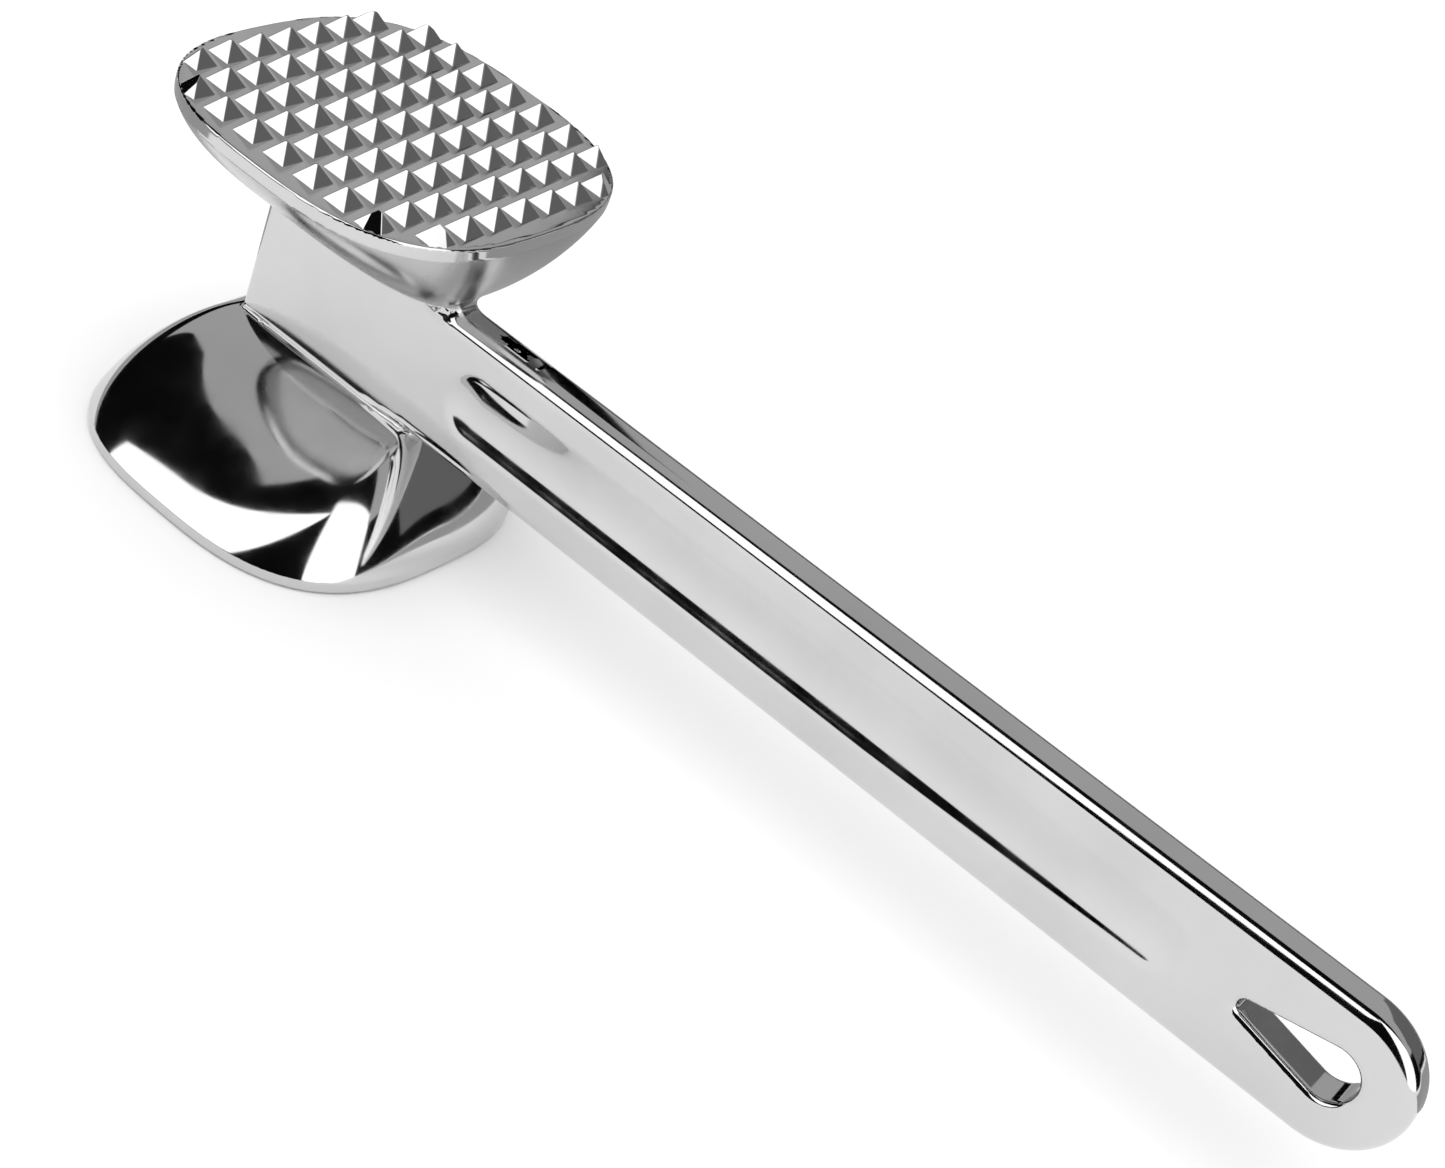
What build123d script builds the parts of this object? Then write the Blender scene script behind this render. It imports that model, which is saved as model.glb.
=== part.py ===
"""Meat mallet: one polished casting with a toothed head, a smooth head and a flat bar handle.

The mallet stands on its smooth face, as it does on a table: the heads outweigh the handle. The origin
is the middle of the smooth face, +Z points up and out of the toothed face, and +X runs along the
handle to the hanging hole. The casting is divided at the planes where its own shape changes, so that
each region is a simple solid that meets the next one face to face.
"""
from build123d import *
from math import cos, sin, tau
import os

# Tooth grid
TOOTH_PITCH = 6.5
TEETH_PER_SIDE = 9
TOOTH_BASE = 4.5
TOOTH_TIP = 0.3
TOOTH_HEIGHT = 2.75
TRIM_INSET = 0.4
TRIM_TAPER = 2.2

# Heads: a squircle rim wall, then a domed back that closes in on the bar
TOOTHED_SIZE = 63.5
SMOOTH_SIZE = 66.5
SQUIRCLE_POWER = 2.8
RIM_HEIGHT = 2.4
TOOTHED_EDGE_RADIUS = 0.5
SMOOTH_EDGE_RADIUS = 1.0
HEAD_HEIGHT = 66.5
DOME_END_POWER = 5.0
DOME_SHOULDER = (0.24, 0.49)
DOME_NECK = (0.74, 0.99)
DOME_SECTIONS = 7
OUTLINE_POINTS = 40

# Bar: the web between the heads and the handle, all one thickness
BAR_THICKNESS = 7.2
BAR_HEIGHT = 25.2
BAR_EDGE_RADIUS = 1.6
WEB_START = -18.5
WEB_END = 18.8
HANDLE_CENTRE_X = 196.0

# Grip groove along both flat sides of the handle
GROOVE_START = 26.0
GROOVE_END = 172.0
GROOVE_WIDTH = 11.5
GROOVE_DEPTH = 1.3

# Hanging hole: a teardrop with its round end on the handle's end centre
HOLE_BIG_RADIUS = 4.5
HOLE_SMALL_RADIUS = 1.4
HOLE_CENTRES = 13.8
HOLE_LIP_RADIUS = 1.1

# Worked out from the above
BAR_CENTRE_Z = HEAD_HEIGHT / 2
BAR_TOP_Z = BAR_CENTRE_Z + BAR_HEIGHT / 2
BAR_BOTTOM_Z = BAR_CENTRE_Z - BAR_HEIGHT / 2
END_RADIUS = BAR_HEIGHT / 2
GRID_MIDDLE = (TEETH_PER_SIDE - 1) / 2


def squircle(half_x, half_y, power, centre_x, z):
    """A closed, smooth superellipse face at height z."""
    points = []
    for step in range(OUTLINE_POINTS):
        angle = tau * step / OUTLINE_POINTS
        reach = (abs(cos(angle)) ** power + abs(sin(angle)) ** power) ** (-1 / power)
        points.append((centre_x + half_x * reach * cos(angle), half_y * reach * sin(angle)))
    outline = Spline(*points, periodic=True)
    return Pos(0, 0, z) * make_face(outline)


def dome_profile(step):
    """How far in and how far along the dome is at one section, each from 0 at the rim to 1 at the bar."""
    u = step / (DOME_SECTIONS - 1)
    weights = (3 * (1 - u) ** 2 * u, 3 * (1 - u) * u**2, u**3)
    inward = weights[0] * DOME_SHOULDER[0] + weights[1] * DOME_NECK[0] + weights[2]
    along = weights[0] * DOME_SHOULDER[1] + weights[1] * DOME_NECK[1] + weights[2]
    return inward, along


def plate(size, face_z, side, edge_radius):
    """The rim slab of one head, from its striking face inward, with the face's edge rounded."""
    half = size / 2
    outline = squircle(half, half, SQUIRCLE_POWER, 0, face_z)
    slab = extrude(outline, amount=RIM_HEIGHT, dir=(0, 0, side))
    face_edge = slab.edges().group_by(Axis.Z)[0 if side > 0 else -1]
    return fillet(face_edge, edge_radius)


def domed_back(size, rim_z, bar_z):
    """The back of one head: squircles that close in from the rim to the outline of the bar."""
    half = size / 2
    sections = []
    for step in range(DOME_SECTIONS):
        inward, along = dome_profile(step)
        half_x = half + ((WEB_END - WEB_START) / 2 - half) * inward
        half_y = half + (BAR_THICKNESS / 2 - half) * inward
        power = SQUIRCLE_POWER + (DOME_END_POWER - SQUIRCLE_POWER) * inward
        centre_x = (WEB_END + WEB_START) / 2 * inward
        sections.append(squircle(half_x, half_y, power, centre_x, rim_z + (bar_z - rim_z) * along))
    return loft(sections)


def trim_envelope():
    """The room for the teeth: the head's outline, tapering in towards the tips."""
    ground = TOOTHED_SIZE / 2 - TRIM_INSET
    top = ground - TRIM_TAPER
    sizes = ((ground, HEAD_HEIGHT), (top, HEAD_HEIGHT + TOOTH_HEIGHT))
    return loft([squircle(half, half, SQUIRCLE_POWER, 0, z) for half, z in sizes])


def teeth():
    """Square pyramids in a square grid, without the corner ones and trimmed where the head rounds off."""
    envelope = trim_envelope()
    base = Pos(0, 0, HEAD_HEIGHT) * Rectangle(TOOTH_BASE, TOOTH_BASE)
    tip = Pos(0, 0, HEAD_HEIGHT + TOOTH_HEIGHT) * Rectangle(TOOTH_TIP, TOOTH_TIP)
    tooth = loft([base.face(), tip.face()])
    ends = (0, TEETH_PER_SIDE - 1)
    grid = []
    for column in range(TEETH_PER_SIDE):
        for row in range(TEETH_PER_SIDE):
            if column in ends and row in ends:
                continue
            x = (column - GRID_MIDDLE) * TOOTH_PITCH
            y = (row - GRID_MIDDLE) * TOOTH_PITCH
            grid.append(Pos(x, y, 0) * tooth & envelope)
    return grid


def web():
    """The stretch of the bar between the two heads, with its far upright edges rounded."""
    length = WEB_END - WEB_START
    block = Pos((WEB_START + WEB_END) / 2, 0, BAR_CENTRE_Z) * Box(length, BAR_THICKNESS, BAR_HEIGHT)
    far_edges = block.edges().filter_by(Axis.Z).group_by(Axis.X)[0]
    return fillet(far_edges, BAR_EDGE_RADIUS)


def groove_cutter(side):
    """A long capsule that leaves a shallow round-ended groove in one flat side."""
    radius = ((GROOVE_WIDTH / 2) ** 2 + GROOVE_DEPTH**2) / (2 * GROOVE_DEPTH)
    y = side * (BAR_THICKNESS / 2 + radius - GROOVE_DEPTH)
    start = GROOVE_START + GROOVE_WIDTH / 2
    end = GROOVE_END - GROOVE_WIDTH / 2
    rod = Pos((start + end) / 2, y, BAR_CENTRE_Z) * Rot(0, 90, 0) * Cylinder(radius, end - start)
    balls = [Pos(x, y, BAR_CENTRE_Z) * Sphere(radius) for x in (start, end)]
    return rod + balls


def teardrop():
    """The hanging hole's outline: a big and a small circle and the tangents between them."""
    big = Pos(HANDLE_CENTRE_X, BAR_CENTRE_Z) * Circle(HOLE_BIG_RADIUS)
    small = Pos(HANDLE_CENTRE_X - HOLE_CENTRES, BAR_CENTRE_Z) * Circle(HOLE_SMALL_RADIUS)
    return make_hull(big.edges() + small.edges())


def handle():
    """The bar beyond the heads: a round end, rounded long edges, two grooves and the hanging hole."""
    straight = HANDLE_CENTRE_X - WEB_END
    body = Pos((WEB_END + HANDLE_CENTRE_X) / 2, BAR_CENTRE_Z) * Rectangle(straight, BAR_HEIGHT)
    outline = body + Pos(HANDLE_CENTRE_X, BAR_CENTRE_Z) * Circle(END_RADIUS)
    outline -= teardrop()
    upright = Plane.XZ.offset(-BAR_THICKNESS / 2) * outline.face()
    bar = extrude(upright, amount=BAR_THICKNESS, dir=(0, -1, 0))
    lips = [edge for face in bar.faces().filter_by(Axis.Y) for edge in face.inner_wires()[0].edges()]
    bar = fillet(lips, HOLE_LIP_RADIUS)
    rims = [edge for face in bar.faces().filter_by(Axis.Y) for edge in face.outer_wire().edges()]
    past_head = [edge for edge in rims if edge.bounding_box().max.X > WEB_END + BAR_EDGE_RADIUS]
    bar = fillet(past_head, BAR_EDGE_RADIUS)
    for side in (-1, 1):
        bar -= groove_cutter(side)
    return bar


regions = {
    "toothed_plate": plate(TOOTHED_SIZE, HEAD_HEIGHT, -1, TOOTHED_EDGE_RADIUS) + teeth(),
    "toothed_back": domed_back(TOOTHED_SIZE, HEAD_HEIGHT - RIM_HEIGHT, BAR_TOP_Z),
    "smooth_plate": plate(SMOOTH_SIZE, 0, 1, SMOOTH_EDGE_RADIUS),
    "smooth_back": domed_back(SMOOTH_SIZE, RIM_HEIGHT, BAR_BOTTOM_Z),
    "web": web(),
    "handle": handle(),
}

os.makedirs("parts", exist_ok=True)
for name, shape in regions.items():
    export_step(shape, f"parts/{name}.step")
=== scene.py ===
"""Looks of the cast meat mallet: one polished metal body, meshed from a smooth formula for its shape.

The body is a field of signed distances: two domed heads and a rounded bar, blended with the fillets
of a casting. It is meshed once, its points are moved onto the exact surface, and it is then cut into
the CAD's regions, so that each CAD node has its piece and no seam shows. The teeth are meshed one by
one. Lengths are in millimetres while the shape is worked out, and in metres in the meshes.
"""
import bmesh
import bpy
import math
import numpy as np
import openvdb
from mathutils import Matrix, Vector


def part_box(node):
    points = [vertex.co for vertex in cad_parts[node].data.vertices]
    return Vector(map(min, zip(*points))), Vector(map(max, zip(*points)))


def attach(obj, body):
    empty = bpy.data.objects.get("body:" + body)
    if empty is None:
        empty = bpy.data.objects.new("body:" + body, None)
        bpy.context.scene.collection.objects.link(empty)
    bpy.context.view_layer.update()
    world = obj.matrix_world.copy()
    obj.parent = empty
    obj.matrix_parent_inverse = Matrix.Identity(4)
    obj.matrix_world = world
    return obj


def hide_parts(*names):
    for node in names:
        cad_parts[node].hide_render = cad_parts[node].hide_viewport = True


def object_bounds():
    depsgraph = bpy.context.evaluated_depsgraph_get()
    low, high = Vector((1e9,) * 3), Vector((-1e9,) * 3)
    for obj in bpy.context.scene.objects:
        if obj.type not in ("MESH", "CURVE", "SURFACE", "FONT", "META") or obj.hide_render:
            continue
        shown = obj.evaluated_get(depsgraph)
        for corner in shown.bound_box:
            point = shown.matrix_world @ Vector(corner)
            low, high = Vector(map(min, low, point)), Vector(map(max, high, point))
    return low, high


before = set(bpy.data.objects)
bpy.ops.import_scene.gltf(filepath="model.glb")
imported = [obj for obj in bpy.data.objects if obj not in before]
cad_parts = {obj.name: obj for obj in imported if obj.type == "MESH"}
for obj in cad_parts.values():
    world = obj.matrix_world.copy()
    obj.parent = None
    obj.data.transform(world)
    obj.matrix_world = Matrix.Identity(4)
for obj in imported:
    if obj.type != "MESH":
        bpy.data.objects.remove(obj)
cad_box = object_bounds()

MM = 0.001


def node_box(name):
    """A CAD node's lowest and highest corners in millimetres."""
    low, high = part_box(name)
    return np.array(low) / MM, np.array(high) / MM


# Places and sizes, read from the CAD regions
toothed_low, toothed_high = node_box("toothed_plate")
smooth_low, smooth_high = node_box("smooth_plate")
web_low, web_high = node_box("web")
_, handle_high = node_box("handle")
TOOTHED_HALF = (toothed_high[1] - toothed_low[1]) / 2
SMOOTH_HALF = (smooth_high[1] - smooth_low[1]) / 2
RIM_HEIGHT = smooth_high[2] - smooth_low[2]
GROUND_Z = toothed_low[2] + RIM_HEIGHT
TOOTH_HEIGHT = toothed_high[2] - GROUND_Z
BAR_BOTTOM, BAR_TOP = web_low[2], web_high[2]
BAR_MIDDLE = (BAR_BOTTOM + BAR_TOP) / 2
BAR_HALF_THICK = web_high[1]
WEB_START, WEB_END = web_low[0], web_high[0]
END_RADIUS = (BAR_TOP - BAR_BOTTOM) / 2
END_CENTRE = handle_high[0] - END_RADIUS

# Heads, in millimetres. A power shapes the outline: 2 is an ellipse and more is squarer.
SQUIRCLE_POWER = 2.8
DOME_END_POWER = 5.0
# The domes' profiles along X and along Y: Bezier curves from rim to bar, each with two
# control points as (inward, along)
PROFILE_X = ((0.22, 0.53), (0.72, 0.99))
PROFILE_Y = ((0.19, 0.42), (0.73, 0.93))
TOOTHED_EDGE_RADIUS = 0.5
SMOOTH_EDGE_RADIUS = 1.0

# Web and handle. The spans are stretches of X over which a value changes.
WEB_EDGE_RADIUS = 1.0
BAR_EDGE_RADIUS = 2.4
BAR_CROWN = 0.25
SIDE_FILLET = 0.9
TOOTHED_NECK_FILLET = 3.0
SMOOTH_NECK_FILLET = 1.2
NECK_FILLET_SPAN = (10.0, 19.0)
GROOVE_SPAN = (26.0, 172.0)
GROOVE_WIDTH = 11.5
GROOVE_DEPTH = 1.5
GROOVE_FADE = 0.45
GROOVE_FADE_SPAN = (115.0, 172.0)
GROOVE_EDGE_RADIUS = 0.4
HOLE_RADII = (4.5, 1.4)
HOLE_CENTRES = 13.8
HOLE_LIP_RADIUS = 1.1

# Teeth
TOOTH_PITCH = 6.5
TEETH_PER_SIDE = 9
TOOTH_BASE = 4.5
TOOTH_TIP = 0.3
TOOTH_BEVEL = 0.1
TOOTH_ROOT = 0.3
TRIM_INSET = 0.4
TRIM_TAPER = 2.2
TRIM_TURN = 0.01

# Meshing of the field
PROFILE_SAMPLES = 2001
DOME_HALVINGS = 20
FIELD_REACH = 6.0
GAUGE_STEP = 0.05
NORMAL_STEP = 0.02
LEAST_SLOPE = 0.3
LEAST_TILT = 0.02
VOXEL = 0.6
MARGIN = 3 * VOXEL
SURFACE_MOVES = 4
SEAM_LIFT = 0.3
FACE_SKIN = 0.02

# Sizes of the patches in the materials, in metres
PATCH_SIZE = 0.02
GLOSS_SIZE = 0.006
WAVE_SIZE = 0.016


# ---------------------------------------------------------------- blends
def round_union(a, b, radius):
    """The union of two solids with a circular fillet where they meet."""
    near_a = np.maximum(radius - a, 0)
    near_b = np.maximum(radius - b, 0)
    return np.maximum(radius, np.minimum(a, b)) - np.hypot(near_a, near_b)


def round_overlap(a, b, radius):
    """The overlap of two solids with its edge rounded."""
    return -round_union(-a, -b, radius)


# ---------------------------------------------------------------- the shape
def dome_table(shoulder, neck):
    """A dome's profile as two rows: how far along it, and how far in, from rim (0) to bar (1)."""
    u = np.linspace(0, 1, PROFILE_SAMPLES)
    weights = (3 * (1 - u) ** 2 * u, 3 * (1 - u) * u**2, u**3)
    inward = weights[0] * shoulder[0] + weights[1] * neck[0] + weights[2]
    along = weights[0] * shoulder[1] + weights[1] * neck[1] + weights[2]
    return along, inward


TABLE_X = dome_table(*PROFILE_X)
TABLE_Y = dome_table(*PROFILE_Y)


def dome_gauge(x, y, depth, half, length):
    """About how far out of a head's side surface a point is, not yet scaled to a true distance."""
    along = (depth - RIM_HEIGHT) / length
    inward_x = np.interp(along, *TABLE_X)
    inward_y = np.interp(along, *TABLE_Y)
    half_x = half + ((WEB_END - WEB_START) / 2 - half) * inward_x
    half_y = half + (BAR_HALF_THICK - half) * inward_y
    power = SQUIRCLE_POWER + (DOME_END_POWER - SQUIRCLE_POWER) * inward_x
    across_x = np.abs(x - (WEB_END + WEB_START) / 2 * inward_x) / half_x
    across_y = np.abs(y) / half_y
    return ((across_x**power + across_y**power) ** (1 / power) - 1) * np.minimum(half_x, half_y)


def slope_of_gauge(x, y, depth, half, length):
    """How fast the gauge grows across the side surface."""
    step = GAUGE_STEP
    slope_x = dome_gauge(x + step, y, depth, half, length) - dome_gauge(x - step, y, depth, half, length)
    slope_y = dome_gauge(x, y + step, depth, half, length) - dome_gauge(x, y - step, depth, half, length)
    slope_z = dome_gauge(x, y, depth + step, half, length) - dome_gauge(x, y, depth - step, half, length)
    return np.maximum(np.sqrt(slope_x**2 + slope_y**2 + slope_z**2) / (2 * step), LEAST_SLOPE)


def head(x, y, depth, half, length, edge_radius):
    """Signed distance to one head, whose striking face is at depth 0.

    Two first-order distances agree at the surface. The sideways one serves the steep rim. The other
    is taken straight down to the dome, and serves the nearly level part around the bar.
    """
    sideways = dome_gauge(x, y, depth, half, length) / slope_of_gauge(x, y, depth, half, length)
    in_outline = dome_gauge(x, y, np.full(x.shape, RIM_HEIGHT), half, length) < 0
    near = in_outline & (sideways > -FIELD_REACH)
    near &= (depth > 0) & (depth < RIM_HEIGHT + length + FIELD_REACH)
    x_near, y_near, depth_near, side = x[near], y[near], depth[near], sideways.copy()
    shallow = np.full(x_near.shape, RIM_HEIGHT)
    deep = np.full(x_near.shape, RIM_HEIGHT + length)
    for _ in range(DOME_HALVINGS):
        middle = (shallow + deep) / 2
        within = dome_gauge(x_near, y_near, middle, half, length) < 0
        shallow = np.where(within, middle, shallow)
        deep = np.where(within, deep, middle)
    surface = (shallow + deep) / 2
    above = dome_gauge(x_near, y_near, surface + GAUGE_STEP, half, length)
    below = dome_gauge(x_near, y_near, surface - GAUGE_STEP, half, length)
    rise = (above - below) / (2 * GAUGE_STEP)
    tilt = np.clip(rise / slope_of_gauge(x_near, y_near, surface, half, length), LEAST_TILT, 1)
    downward = (depth_near - surface) * tilt
    side[near] = np.where(np.abs(downward) < np.abs(side[near]), downward, side[near])
    capped = round_overlap(side, -depth, edge_radius)
    return np.maximum(capped, depth - RIM_HEIGHT - length)


def bar(x, y, z):
    """Signed distance to the web and handle: a flat bar with a round end and rounded edges."""
    reach = END_RADIUS - BAR_CROWN * (y / BAR_HALF_THICK) ** 2
    past_end = np.hypot(x - END_CENTRE, z - BAR_MIDDLE) - reach
    along = np.maximum(np.abs(z - BAR_MIDDLE) - reach, WEB_START - x)
    outline = np.where(x > END_CENTRE, past_end, along)
    edge_radius = np.interp(x, NECK_FILLET_SPAN, (WEB_EDGE_RADIUS, BAR_EDGE_RADIUS))
    return round_overlap(outline, np.abs(y) - BAR_HALF_THICK, edge_radius)


def grip_groove(x, y, z):
    """Signed distance to the two long capsules that leave the grip grooves."""
    radius = ((GROOVE_WIDTH / 2) ** 2 + GROOVE_DEPTH**2) / (2 * GROOVE_DEPTH)
    depth = GROOVE_DEPTH - np.interp(x, GROOVE_FADE_SPAN, (0, GROOVE_FADE))
    centre_y = BAR_HALF_THICK + radius - depth
    past = x - np.clip(x, GROOVE_SPAN[0] + GROOVE_WIDTH / 2, GROOVE_SPAN[1] - GROOVE_WIDTH / 2)
    return np.sqrt(past**2 + (np.abs(y) - centre_y) ** 2 + (z - BAR_MIDDLE) ** 2) - radius


def hanging_hole(x, z):
    """Signed distance to the teardrop in the plane of the bar."""
    big, small = HOLE_RADII
    across = np.abs(z - BAR_MIDDLE)
    toward_head = END_CENTRE - x
    lean = (big - small) / HOLE_CENTRES
    upright = math.sqrt(1 - lean**2)
    along = toward_head * upright - across * lean
    side = across * upright + toward_head * lean - big
    near_small = np.hypot(across, toward_head - HOLE_CENTRES) - small
    near_big = np.hypot(across, toward_head) - big
    return np.where(along < 0, near_big, np.where(along > HOLE_CENTRES * upright, near_small, side))


def body(x, y, z):
    """Signed distance to the whole casting without its teeth."""
    handle = round_overlap(bar(x, y, z), -grip_groove(x, y, z), GROOVE_EDGE_RADIUS)
    handle = round_overlap(handle, -hanging_hole(x, z), HOLE_LIP_RADIUS)
    result = handle.copy()
    by_heads = x < SMOOTH_HALF + FIELD_REACH
    for face_z, inward, half, edge_radius, bar_z, neck_fillet in (
        (GROUND_Z, -1, TOOTHED_HALF, TOOTHED_EDGE_RADIUS, BAR_TOP, TOOTHED_NECK_FILLET),
        (0.0, 1, SMOOTH_HALF, SMOOTH_EDGE_RADIUS, BAR_BOTTOM, SMOOTH_NECK_FILLET),
    ):
        length = abs(bar_z - face_z) - RIM_HEIGHT
        depth = (z[by_heads] - face_z) * inward
        near = head(x[by_heads], y[by_heads], depth, half, length, edge_radius)
        fillet = np.interp(x[by_heads], NECK_FILLET_SPAN, (SIDE_FILLET, neck_fillet))
        result[by_heads] = round_union(result[by_heads], near, fillet)
    return result


def body_normals(points):
    """The outward unit normals of the casting's surface, and its signed distance, at points."""
    step = NORMAL_STEP
    x, y, z = points.T
    slopes = [
        body(x + dx, y + dy, z + dz) - body(x - dx, y - dy, z - dz)
        for dx, dy, dz in ((step, 0, 0), (0, step, 0), (0, 0, step))
    ]
    gradient = np.stack(slopes, axis=1) / (2 * step)
    steepness = np.linalg.norm(gradient, axis=1)
    return gradient / steepness[:, None], body(x, y, z) / steepness


def body_surface():
    """The casting's surface as points and quads, with each point moved onto the exact surface."""
    low = np.array(cad_box[0]) / MM - MARGIN
    high = np.array(cad_box[1]) / MM + MARGIN
    counts = np.ceil((high - low) / VOXEL).astype(int)
    axes = [low[k] + VOXEL * np.arange(counts[k]) for k in range(3)]
    x, y, z = np.meshgrid(*axes, indexing="ij")
    field = body(x.ravel(), y.ravel(), z.ravel()).reshape(x.shape)
    grid = openvdb.FloatGrid(MARGIN)
    grid.copyFromArray(np.clip(field, -MARGIN, MARGIN).astype(np.float32))
    points, quads = grid.convertToQuads(0.0)
    points = low + points.astype(float) * VOXEL
    for _ in range(SURFACE_MOVES):
        normals, distance = body_normals(points)
        points -= normals * distance[:, None]
    return points, quads


# ---------------------------------------------------------------- pieces
def mesh_object(name, mesh):
    """An object in the scene for a mesh."""
    piece = bpy.data.objects.new(name, mesh)
    bpy.context.scene.collection.objects.link(piece)
    return piece


def whole_body():
    """The casting as one bmesh in metres."""
    points, quads = body_surface()
    mesh = bpy.data.meshes.new("casting")
    mesh.from_pydata((points * MM).tolist(), [], quads[:, ::-1].tolist())
    mesh.validate()
    casting = bmesh.new()
    casting.from_mesh(mesh)
    bpy.data.meshes.remove(mesh)
    bmesh.ops.recalc_face_normals(casting, faces=casting.faces)
    return casting


def region(casting, name, cuts, finish, face_z=None, face_metal=None):
    """The part of the casting on the inner side of each cut, as the piece for one CAD node."""
    part = casting.copy()
    for place, outward in cuts:
        everything = part.verts[:] + part.edges[:] + part.faces[:]
        bmesh.ops.bisect_plane(
            part, geom=everything, plane_co=Vector(place) * MM, plane_no=outward, clear_outer=True
        )
    mesh = bpy.data.meshes.new(name)
    part.to_mesh(mesh)
    part.free()
    mesh.materials.append(finish)
    if face_metal:
        mesh.materials.append(face_metal)
        for face in mesh.polygons:
            face.material_index = int(abs(face.center.z / MM - face_z) < FACE_SKIN)
    points = np.empty(len(mesh.vertices) * 3)
    mesh.vertices.foreach_get("co", points)
    normals, _ = body_normals(points.reshape(-1, 3) / MM)
    mesh.shade_smooth()
    mesh.normals_split_custom_set_from_vertices(normals.tolist())
    piece = mesh_object(name, mesh)
    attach(piece, "root")
    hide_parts(name.removesuffix("_casting"))
    return piece


def metal(name, tone, roughness, wave, grain, grain_size):
    """Cast aluminium with uneven polish: patches of tone and gloss, long shallow waves and a fine grain.

    tone and roughness are (lowest, highest). wave and grain are the heights of the bumps in metres.
    """
    material = bpy.data.materials.new(name)
    material.use_nodes = True
    nodes, links = material.node_tree.nodes, material.node_tree.links
    shader = nodes["Principled BSDF"]
    shader.inputs["Metallic"].default_value = 1.0
    place = nodes.new("ShaderNodeTexCoord").outputs["Object"]

    def noise(size, detail):
        texture = nodes.new("ShaderNodeTexNoise")
        texture.inputs["Scale"].default_value = 1 / size
        texture.inputs["Detail"].default_value = detail
        links.new(place, texture.inputs["Vector"])
        return texture.outputs["Fac"]

    def spread(value, low, high, socket):
        ranged = nodes.new("ShaderNodeMapRange")
        ranged.inputs["From Min"].default_value = 0.3
        ranged.inputs["From Max"].default_value = 0.7
        ranged.inputs["To Min"].default_value = low
        ranged.inputs["To Max"].default_value = high
        links.new(value, ranged.inputs["Value"])
        links.new(ranged.outputs["Result"], socket)

    spread(noise(PATCH_SIZE, 3), *tone, shader.inputs["Base Color"])
    spread(noise(GLOSS_SIZE, 6), *roughness, shader.inputs["Roughness"])
    normal = None
    for size, detail, height in ((WAVE_SIZE, 1, wave), (grain_size, 4, grain)):
        bump = nodes.new("ShaderNodeBump")
        bump.inputs["Distance"].default_value = height
        links.new(noise(size, detail), bump.inputs["Height"])
        if normal:
            links.new(normal, bump.inputs["Normal"])
        normal = bump.outputs["Normal"]
    links.new(normal, shader.inputs["Normal"])
    return material


polish = metal("polished_metal", (0.58, 0.63), (0.05, 0.11), 2e-5, 4e-7, 6e-4)
# Satin finish for the toothed head's back: its rougher gloss is a finish, and its darker tone is painted
# shade on that downward-facing side
satin_and_painted_shade = metal("satin_metal_and_painted_shade", (0.47, 0.54), (0.20, 0.28), 2e-5, 1e-6, 6e-4)
sand_cast = metal("ground_between_teeth", (0.60, 0.68), (0.10, 0.20), 1e-5, 4e-6, 7e-4)
worn = metal("worn_striking_face", (0.60, 0.68), (0.12, 0.28), 2e-5, 4e-6, 1.2e-3)
casting = whole_body()
up, down, forward, back = (0, 0, 1), (0, 0, -1), (1, 0, 0), (-1, 0, 0)
toothed_rim = (0, 0, GROUND_Z - RIM_HEIGHT)
smooth_rim = (0, 0, RIM_HEIGHT)
neck_top = (0, 0, BAR_TOP + SEAM_LIFT)
neck_bottom = (0, 0, BAR_BOTTOM - SEAM_LIFT)
web_end = (WEB_END, 0, 0)
region(casting, "toothed_plate_casting", [(toothed_rim, down)], polish, GROUND_Z, sand_cast)
# The toothed head's back takes the satin metal, whose darker tone is painted shade
region(casting, "toothed_back_casting", [(toothed_rim, up), (neck_top, down)], satin_and_painted_shade)
region(casting, "smooth_plate_casting", [(smooth_rim, up)], polish, 0, worn)
region(casting, "smooth_back_casting", [(smooth_rim, down), (neck_bottom, up)], polish)
region(casting, "web_casting", [(neck_top, up), (neck_bottom, down), (web_end, forward)], polish)
region(casting, "handle_casting", [(neck_top, up), (neck_bottom, down), (web_end, back)], polish)
casting.free()


def squircle_radius(angle, half):
    """How far the heads' outline is from the middle in one direction."""
    reach = abs(math.cos(angle)) ** SQUIRCLE_POWER + abs(math.sin(angle)) ** SQUIRCLE_POWER
    return half * reach ** (-1 / SQUIRCLE_POWER)


def trim_plane(x, y):
    """A plane that follows the tapering edge of the toothed face next to a tooth."""
    angle = math.atan2(y, x)
    radius = squircle_radius(angle, TOOTHED_HALF - TRIM_INSET)
    turns = (angle - TRIM_TURN, angle + TRIM_TURN)
    before, after = (squircle_radius(turn, TOOTHED_HALF - TRIM_INSET) for turn in turns)
    along = Vector((
        after * math.cos(turns[1]) - before * math.cos(turns[0]),
        after * math.sin(turns[1]) - before * math.sin(turns[0]),
        0,
    )).normalized()
    outward = Vector((along.y, -along.x, TRIM_TAPER / TOOTH_HEIGHT)).normalized()
    return Vector((radius * math.cos(angle), radius * math.sin(angle), GROUND_Z)), outward


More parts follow.
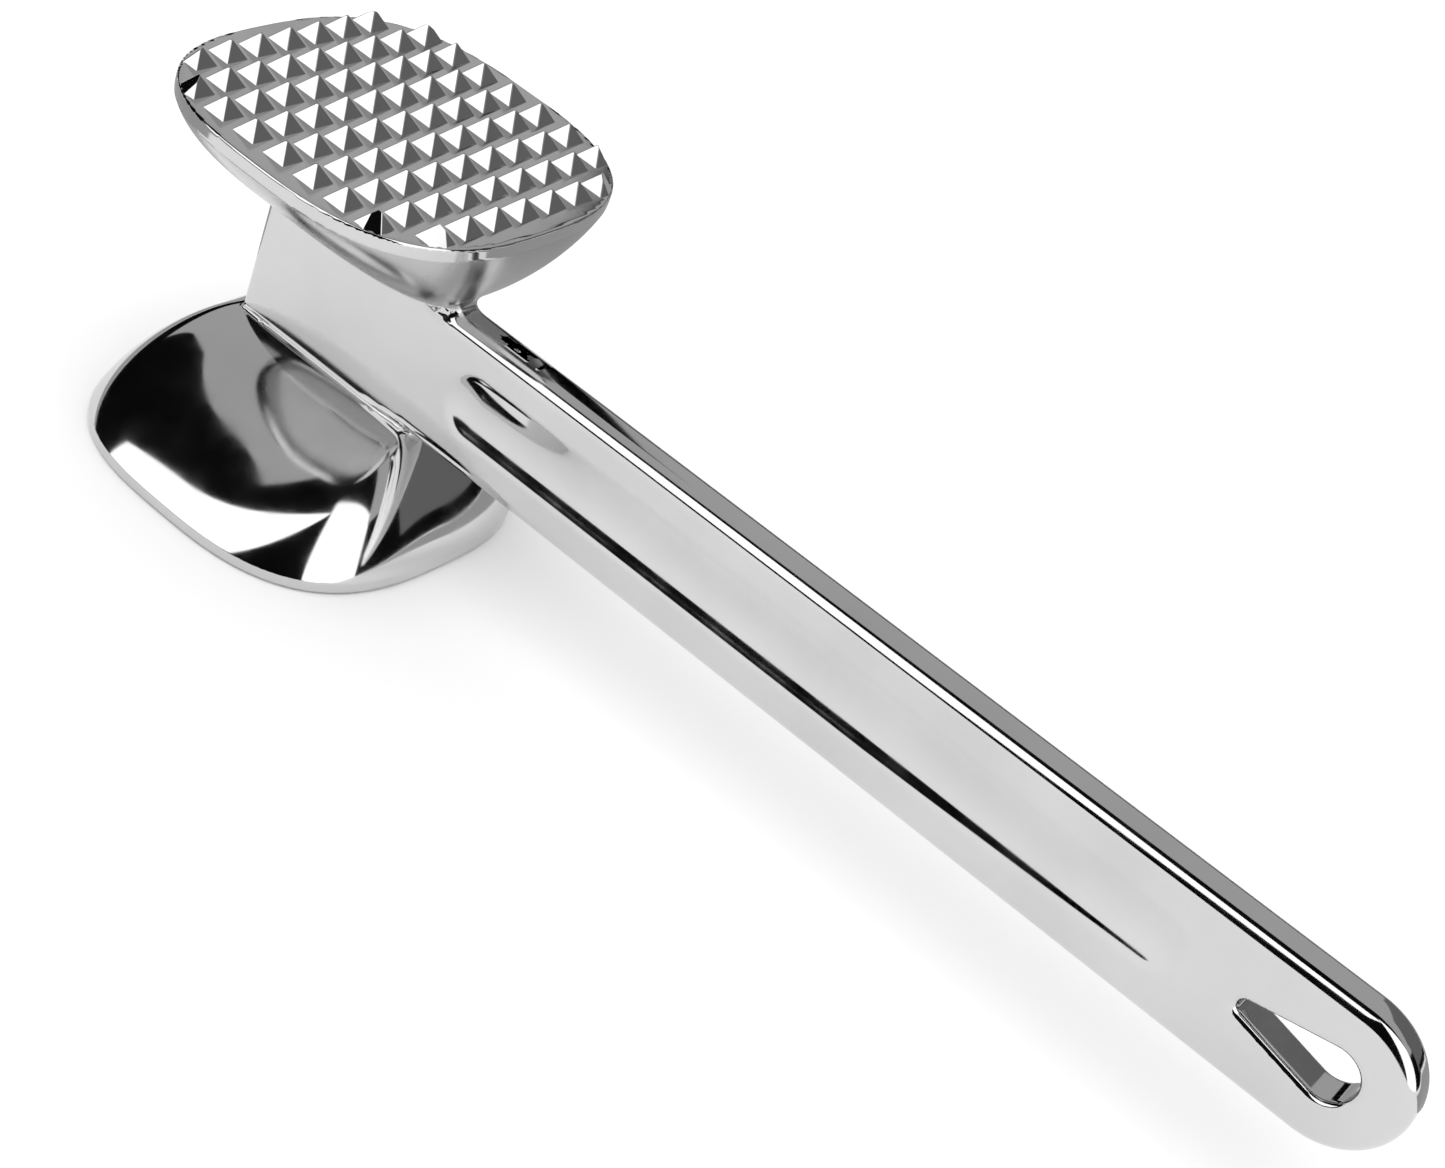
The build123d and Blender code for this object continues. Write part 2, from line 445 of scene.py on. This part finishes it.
def tooth(x, y, teeth):
    """One pyramid with softened edges, trimmed where the head rounds off."""
    one = bmesh.new()
    slope = (TOOTH_BASE - TOOTH_TIP) / 2 / TOOTH_HEIGHT
    low_half = TOOTH_BASE / 2 + slope * TOOTH_ROOT
    corners = ((-1, -1), (1, -1), (1, 1), (-1, 1))
    low_z = GROUND_Z - TOOTH_ROOT
    high_z = GROUND_Z + TOOTH_HEIGHT
    high_half = TOOTH_TIP / 2
    low = [one.verts.new((x + i * low_half, y + j * low_half, low_z)) for i, j in corners]
    high = [one.verts.new((x + i * high_half, y + j * high_half, high_z)) for i, j in corners]
    one.faces.new(low[::-1])
    one.faces.new(high)
    for k in range(4):
        one.faces.new((low[k], low[k - 3], high[k - 3], high[k]))
    place, outward = trim_plane(x, y)
    everything = one.verts[:] + one.edges[:] + one.faces[:]
    cut = bmesh.ops.bisect_plane(
        one, geom=everything, plane_co=place, plane_no=outward, clear_outer=True
    )
    rim = [e for e in cut["geom_cut"] if isinstance(e, bmesh.types.BMEdge)]
    if rim:
        bmesh.ops.contextual_create(one, geom=rim)
    bmesh.ops.recalc_face_normals(one, faces=one.faces)
    bmesh.ops.bevel(
        one,
        geom=one.edges[:],
        offset=TOOTH_BEVEL,
        segments=2,
        profile=0.5,
        affect="EDGES",
        clamp_overlap=True,
    )
    bmesh.ops.scale(one, verts=one.verts, vec=(MM, MM, MM))
    mesh = bpy.data.meshes.new("one_tooth")
    one.to_mesh(mesh)
    one.free()
    teeth.from_mesh(mesh)
    bpy.data.meshes.remove(mesh)


def tooth_grid(material):
    """Every tooth of the toothed face, as one piece."""
    teeth = bmesh.new()
    middle = (TEETH_PER_SIDE - 1) / 2
    ends = (0, TEETH_PER_SIDE - 1)
    for column in range(TEETH_PER_SIDE):
        for row in range(TEETH_PER_SIDE):
            if column in ends and row in ends:
                continue
            tooth((column - middle) * TOOTH_PITCH, (row - middle) * TOOTH_PITCH, teeth)
    mesh = bpy.data.meshes.new("tooth_grid")
    teeth.to_mesh(mesh)
    teeth.free()
    mesh.materials.append(material)
    piece = mesh_object("tooth_grid", mesh)
    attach(piece, "root")
    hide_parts("toothed_plate")
    return piece


tooth_grid(polish)

# ---------------------------------------------------------------- studio
CAMERA_TARGET = Vector((0.08192, 0, 0.03375))
CAMERA_DISTANCE = 0.3831
CAMERA_AZIMUTH = 24.084
CAMERA_ELEVATION = 34.716
CAMERA_ROLL = 23.416
CAMERA_LENS = 62.28
SENSOR_WIDTH = 36.0
SUN_ELEVATION = 70
SUN_SPREAD = 50
SUN_STRENGTH = 0.9
FLOOR_EDGE = 4.0
FLOOR_WHITE = 0.9
FLOOR_CARD_HEIGHT = 0.0003
CEILING_HEIGHT = 2.0
WHITE = 1.8
GREY = 0.5
DIM = 0.17
BLACK = 0.0


def direction(azimuth, elevation):
    """The unit vector at an azimuth, measured from straight in front toward +X, and an elevation."""
    a, e = math.radians(azimuth), math.radians(elevation)
    return Vector((math.sin(a) * math.cos(e), -math.cos(a) * math.cos(e), math.sin(e)))


def make_camera():
    """The camera, looking down on the mallet from in front of the handle."""
    camera = bpy.data.objects.new("camera", bpy.data.cameras.new("camera"))
    bpy.context.scene.collection.objects.link(camera)
    toward_camera = direction(CAMERA_AZIMUTH, CAMERA_ELEVATION)
    level = toward_camera.to_track_quat("Z", "Y").to_matrix()
    roll = Matrix.Rotation(math.radians(CAMERA_ROLL), 3, "Z")
    place = CAMERA_TARGET + toward_camera * CAMERA_DISTANCE
    camera.matrix_world = Matrix.LocRotScale(place, level @ roll, None)
    camera.data.lens = CAMERA_LENS
    camera.data.sensor_width = SENSOR_WIDTH
    camera.data.clip_start = 0.01
    bpy.context.scene.camera = camera


def glow(name, brightness):
    """A material that gives off a plain white light."""
    material = bpy.data.materials.new(name)
    material.use_nodes = True
    nodes = material.node_tree.nodes
    nodes.remove(nodes["Principled BSDF"])
    emission = nodes.new("ShaderNodeEmission")
    emission.inputs["Strength"].default_value = brightness
    output = nodes["Material Output"]
    material.node_tree.links.new(emission.outputs["Emission"], output.inputs["Surface"])
    return material


def card(name, points, brightness):
    """A flat studio card, white, grey or black, that shows only in the metal's reflections."""
    mesh = bpy.data.meshes.new(name)
    mesh.from_pydata([tuple(p) for p in points], [], [range(len(points))])
    mesh.materials.append(glow(name, brightness))
    piece = mesh_object(name, mesh)
    piece.visible_camera = False
    piece.visible_diffuse = False
    piece.visible_shadow = False


def upright_card(name, facing, distance, corners, brightness):
    """A card standing a distance from the head at the azimuth it faces. Corners are (across, height)."""
    out = direction(facing, 0) * distance
    across = direction(facing + 90, 0)
    card(name, [out + across * u + Vector((0, 0, v)) for u, v in corners], brightness)


def level_card(name, height, corners, brightness):
    """A card lying flat at a height. Corners are (x, y)."""
    card(name, [(x, y, height) for x, y in corners], brightness)


def make_floor():
    """A wide matt white floor at height 0."""
    mesh = bpy.data.meshes.new("floor")
    corners = [(i * FLOOR_EDGE, j * FLOOR_EDGE, 0) for i, j in ((-1, -1), (1, -1), (1, 1), (-1, 1))]
    mesh.from_pydata(corners, [], [(0, 1, 2, 3)])
    material = bpy.data.materials.new("pale_floor")
    material.use_nodes = True
    nodes = material.node_tree.nodes
    nodes.remove(nodes["Principled BSDF"])
    matte = nodes.new("ShaderNodeBsdfDiffuse")
    matte.inputs["Color"].default_value = (FLOOR_WHITE, FLOOR_WHITE, FLOOR_WHITE, 1)
    material.node_tree.links.new(matte.outputs["BSDF"], nodes["Material Output"].inputs["Surface"])
    mesh.materials.append(material)
    mesh_object("floor", mesh)


def make_sun():
    """A wide soft light from above and in front, which makes the floor white and the shadow soft."""
    light = bpy.data.lights.new("soft_sun", "SUN")
    light.energy = SUN_STRENGTH
    light.angle = math.radians(SUN_SPREAD)
    sun = bpy.data.objects.new("soft_sun", light)
    bpy.context.scene.collection.objects.link(sun)
    sun.rotation_mode = "QUATERNION"
    sun.rotation_quaternion = direction(0, SUN_ELEVATION).to_track_quat("Z", "Y")
    sun.visible_glossy = False


def make_world():
    """A white surround for the camera and the floor, and a nearly black one for reflections."""
    world = bpy.data.worlds.new("studio")
    world.use_nodes = True
    bpy.context.scene.world = world
    nodes, links = world.node_tree.nodes, world.node_tree.links
    background = nodes["Background"]
    path = nodes.new("ShaderNodeLightPath")
    mix = nodes.new("ShaderNodeMix")
    mix.data_type = "RGBA"
    mix.inputs["A"].default_value = (1, 1, 1, 1)
    mix.inputs["B"].default_value = (0.004, 0.004, 0.004, 1)
    links.new(path.outputs["Is Glossy Ray"], mix.inputs["Factor"])
    links.new(mix.outputs["Result"], background.inputs["Color"])


make_camera()
make_floor()
make_world()
make_sun()

# Two big white cards in front leave a dark wedge between them, and grey ones stand and lie behind
upright_card("front_left", 20, 1.5, [(-5.0, 0), (-1.05, 0), (0.28, 2.85), (-5.0, 2.85)], WHITE)
upright_card("front_right", 20, 1.5, [(0.94, 0), (4.4, 0), (4.4, 3.7), (0.08, 3.7)], WHITE)
upright_card("back_grey", -130, 0.8, [(-1.4, 0.3), (0.5, 0.3), (0.85, 1.9), (-1.4, 1.9)], GREY)
upright_card("right_grey", 140, 0.8, [(-0.3, 0.1), (0.45, 0.1), (0.45, 0.6), (-0.3, 0.6)], DIM)
CEILING = [(-3.0, 0.3), (-1.6, -0.15), (-0.95, -0.95), (0, -0.05), (3.0, 0), (3.0, 3.0), (-3.0, 3.0)]
level_card("ceiling_grey", CEILING_HEIGHT, CEILING, GREY)

# Black flags draw the dark line along the groove and the dark stretch on top of the handle
upright_card("front_flag", 0, 1.2, [(-2.4, 0), (0.1, 0), (0.0, 0.26), (-2.4, 0.26)], BLACK)
upright_card("back_flag", -156, 0.25, [(-0.03, 0.1), (0.0, 0.1), (0.0, 0.32), (-0.03, 0.32)], BLACK)

# Grey stretches of floor, painted floor shade seen only in reflections, tone the undersides of the
# toothed head
BACK_FLOOR_SHADE = [(-0.6, 0.05), (0.6, 0.05), (0.6, 1.0), (-0.6, 1.0)]
LEFT_FLOOR_SHADE = [(-0.8, -0.8), (-0.55, -0.8), (-0.09, -0.07), (-0.055, 0.05), (-0.8, 0.05)]
level_card("back_floor_painted_shade", FLOOR_CARD_HEIGHT, BACK_FLOOR_SHADE, 0.42)
level_card("left_floor_painted_shade", FLOOR_CARD_HEIGHT, LEFT_FLOOR_SHADE, 0.45)
bpy.context.scene.view_settings.view_transform = "Standard"
